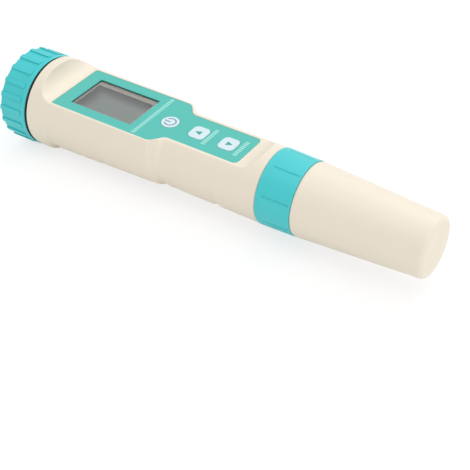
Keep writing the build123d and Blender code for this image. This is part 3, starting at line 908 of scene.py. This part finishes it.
@dataclass
class Studio:
    """White floor, soft lamps and the camera at the photograph's angle."""

    floor_reach: float = 3.0
    paper_colour: str = "FAFAFA"
    shown_paper_colour: str = "A0A0A0"
    shown_paper_glow: float = 0.7
    room_light: float = 0.73
    backdrop_light: float = 1.0
    lens: float = 84.255
    sensor: float = 36.0
    eye: tuple[float, float, float] = (0.198265, -0.278159, 0.270651)
    camera_right: tuple[float, float, float] = (0.83285709, 0.55334255, -0.01269215)
    camera_up: tuple[float, float, float] = (-0.34907204, 0.54292109, 0.7637967)
    camera_back: tuple[float, float, float] = (0.42953205, -0.63170302, 0.64533209)
    lamps: tuple[SoftBox, ...] = (
        SoftBox("key_softbox", (0.0, -0.15, 1.2), 1.0, 3.0),
        SoftBox("back_softbox", (0.1, 0.8, 0.9), 0.9, 4.4),
        SoftBox("side_softbox", (1.4, -0.3, 0.6), 0.9, 3.4),
    )

    def floor(self) -> bpy.types.Object:
        """Lay the level floor under the battery cap's lowest ribs.

        Returns:
            The floor.
        """
        mesh = bpy.data.meshes.new("floor")
        shape = bmesh.new()
        bmesh.ops.create_grid(shape, x_segments=1, y_segments=1, size=self.floor_reach)
        shape.to_mesh(mesh)
        shape.free()
        mesh.materials.append(self.paper())
        floor = bpy.data.objects.new("floor", mesh)
        bpy.context.scene.collection.objects.link(floor)
        return floor

    def paper(self) -> bpy.types.Material:
        """Make the floor's matt white paper, white to the camera but for the shadow.

        Returns:
            The floor's material.
        """
        material = bpy.data.materials.new("matt_white_paper")
        material.use_nodes = True
        tree = material.node_tree
        tree.nodes.clear()
        paper = add_node(
            tree, "ShaderNodeBsdfDiffuse", Color=linear(self.paper_colour), Roughness=0.5
        )
        pale = add_node(
            tree, "ShaderNodeBsdfDiffuse", Color=linear(self.shown_paper_colour), Roughness=0.5
        )
        glow = add_node(
            tree,
            "ShaderNodeEmission",
            Color=linear("FFFFFF"),
            Strength=self.shown_paper_glow,
        )
        ray = add_node(tree, "ShaderNodeLightPath")
        seen = add_node(
            tree,
            "ShaderNodeMath",
            {"operation": "MAXIMUM"},
            i0=ray.outputs["Is Camera Ray"],
            i1=ray.outputs["Is Transmission Ray"],
        )
        both = add_node(
            tree, "ShaderNodeAddShader", i0=pale.outputs["BSDF"], i1=glow.outputs["Emission"]
        )
        mixed = add_node(
            tree,
            "ShaderNodeMixShader",
            i0=seen.outputs["Value"],
            i1=paper.outputs["BSDF"],
            i2=both.outputs["Shader"],
        )
        add_node(tree, "ShaderNodeOutputMaterial", Surface=mixed.outputs["Shader"])
        return material

    def world(self) -> None:
        """Fill the room with even soft light and a white backdrop."""
        world = bpy.data.worlds.new("studio")
        bpy.context.scene.world = world
        world.use_nodes = True
        tree = world.node_tree
        tree.nodes.clear()
        ray = add_node(tree, "ShaderNodeLightPath")
        soft, white = (
            add_node(tree, "ShaderNodeBackground", Color=linear("FFFFFF"), Strength=strength)
            for strength in (self.room_light, self.backdrop_light)
        )
        mixed = add_node(
            tree,
            "ShaderNodeMixShader",
            i0=ray.outputs["Is Camera Ray"],
            i1=soft.outputs["Background"],
            i2=white.outputs["Background"],
        )
        add_node(tree, "ShaderNodeOutputWorld", Surface=mixed.outputs["Shader"])

    def camera(self) -> bpy.types.Object:
        """Stand the camera where the photograph's was.

        Returns:
            The camera.
        """
        data = bpy.data.cameras.new("camera")
        data.lens = self.lens
        data.sensor_width = self.sensor
        data.clip_start, data.clip_end = 0.01, 20.0
        camera = bpy.data.objects.new("camera", data)
        axes = Matrix((self.camera_right, self.camera_up, self.camera_back))
        camera.matrix_world = Matrix.Translation(self.eye) @ axes.transposed().to_4x4()
        bpy.context.scene.collection.objects.link(camera)
        bpy.context.scene.camera = camera
        return camera

    def build(self) -> None:
        """Set up the floor, the light and the camera."""
        self.floor()
        self.world()
        for lamp in self.lamps:
            lamp.hang()
        self.camera()
        bpy.context.scene.view_settings.view_transform = "Standard"
        log.info("studio ready")


def main() -> None:
    """Build and dress the whole meter and its studio."""
    logging.basicConfig(level=logging.INFO, format="%(name)s: %(message)s")
    Studio().build()
    dress_nodes()
    KeySigns().build()
    TickRows().build()
    ScrewThread(
        "battery_neck_thread", start_mm=7.3, end_mm=11.6, core_mm=15.5, crest_mm=16.15
    ).build()
    ScrewThread(
        "ring_neck_thread", start_mm=121.5, end_mm=126.9, core_mm=13.0, crest_mm=13.55
    ).build()
    SensorDetails().build()
    StorageSponge().build()


if __name__ == "__main__":
    main()
